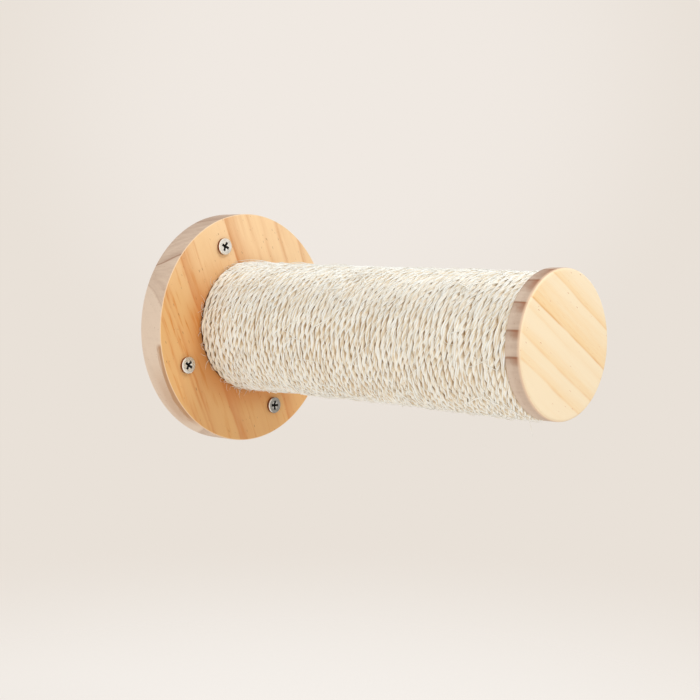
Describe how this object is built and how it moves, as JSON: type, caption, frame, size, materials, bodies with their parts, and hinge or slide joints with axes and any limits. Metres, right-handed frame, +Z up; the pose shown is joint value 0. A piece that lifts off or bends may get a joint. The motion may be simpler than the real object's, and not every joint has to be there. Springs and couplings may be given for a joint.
{
  "type": "wall-mounted cat scratching post",
  "caption": "Wall-mounted cat scratcher: a horizontal post wound tightly with sisal stands out from a round pine plate screwed to the wall, and a flat pine disc caps its free end.",
  "frame": {"origin": "centre of the base plate's back face, on the wall plane and on the post's axis", "axes": "+Y into the wall, so the post points along -Y into the room; +Z up; +X to the right seen from the room"},
  "size_m": [0.14, 0.273, 0.14],
  "materials": {
    "pine": "sanded and clear varnished",
    "core_pine": "turned, bare",
    "sisal": "two-ply natural twine, hairy",
    "zinc_steel": "zinc plated",
    "insert_brass": "turned",
    "dowel_beech": "bare"
  },
  "bodies": {
    "root": {"base_plate": "pine", "post_core": "core_pine", "sisal_rope": "sisal", "end_cap": "pine", "clamp_bolt": "zinc_steel", "clamp_washer": "zinc_steel", "threaded_insert": "insert_brass", "base_dowel_left": "dowel_beech", "base_dowel_right": "dowel_beech", "cap_dowel_left": "dowel_beech", "cap_dowel_right": "dowel_beech", "wall_screw_1": "zinc_steel", "wall_screw_2": "zinc_steel", "wall_screw_3": "zinc_steel", "wall_screw_4": "zinc_steel"}
  },
  "joints": []
}
